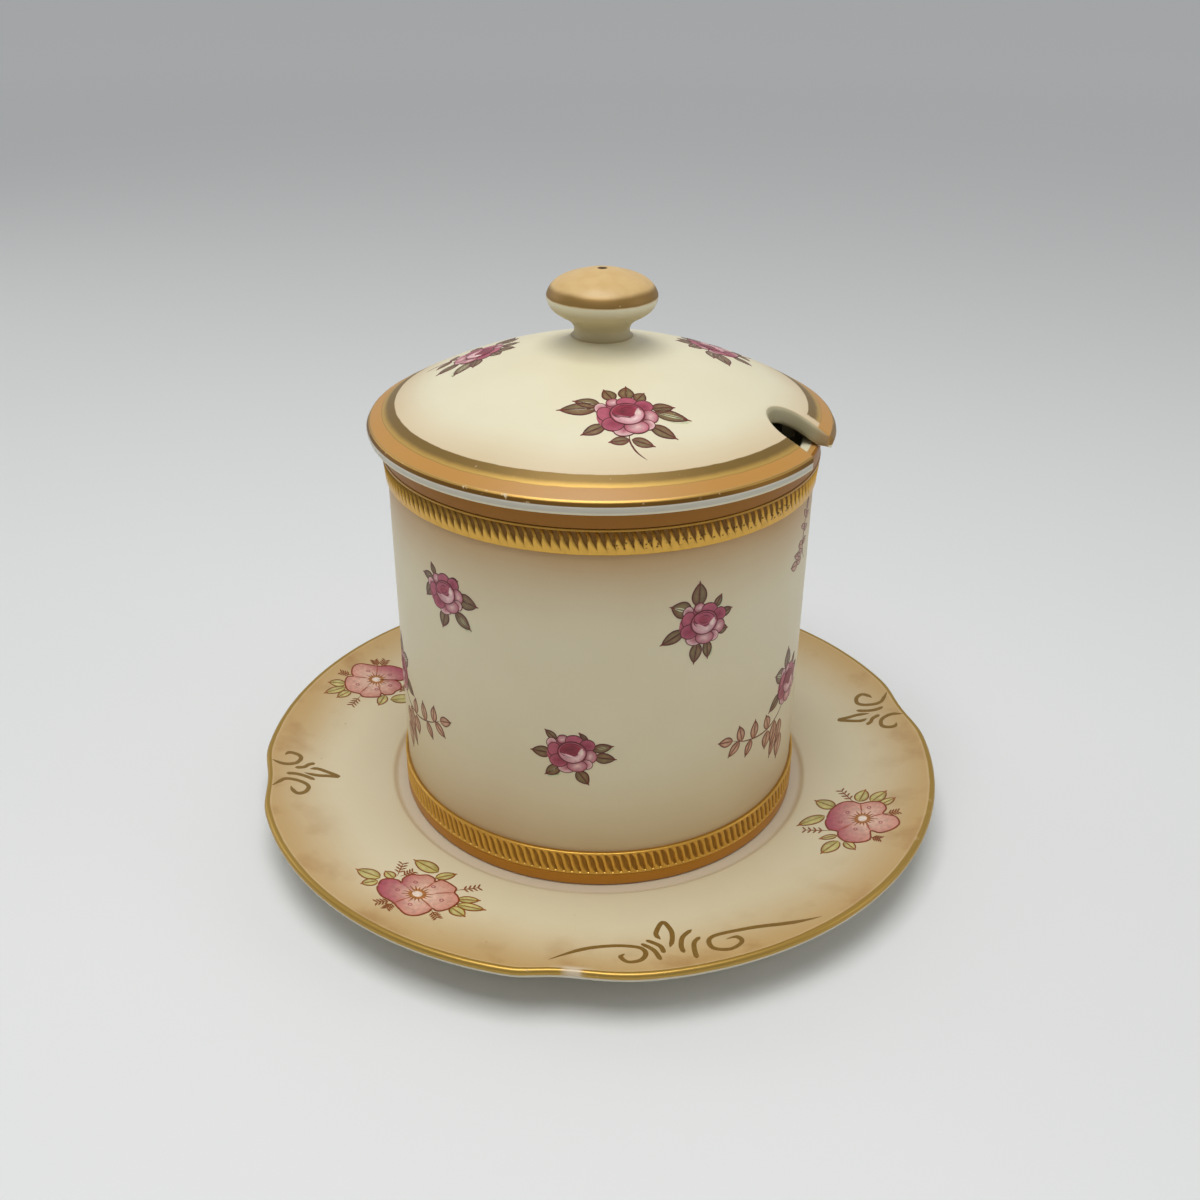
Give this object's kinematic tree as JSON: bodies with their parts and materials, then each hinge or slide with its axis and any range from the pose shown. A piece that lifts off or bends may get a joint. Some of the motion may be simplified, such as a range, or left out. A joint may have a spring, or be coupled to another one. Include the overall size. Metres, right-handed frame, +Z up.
{
  "type": "jam pot",
  "caption": "Lidded earthenware jam pot: straight jar with gilt relief bands, domed lid with a spoon notch and a knob, standing in the well of a lobed saucer.",
  "frame": {"origin": "on the table, under the middle of the saucer's foot ring", "axes": "+Z up along the axis of jar, lid and saucer, +X towards the spoon notch in the lid"},
  "size_m": [0.1556, 0.1556, 0.1229],
  "materials": {
    "ivory_glaze": "satin ivory glaze with an apricot blush at the edges",
    "gilt_relief": "worn burnished gilding over glaze"
  },
  "bodies": {
    "saucer": {"saucer": "ivory_glaze"},
    "jar": {"jar": "ivory_glaze", "jar_lower_band": "gilt_relief", "jar_upper_band": "gilt_relief"},
    "lid": {"lid": "ivory_glaze", "lid_knob": "ivory_glaze"}
  },
  "joints": [
    {"name": "jar_lift", "type": "slide", "parent": "saucer", "child": "jar", "axis": [0, 0, 1], "range_m": [0, 0.06]},
    {"name": "lid_lift", "type": "slide", "parent": "jar", "child": "lid", "axis": [0, 0, 1], "range_m": [0, 0.1]}
  ]
}
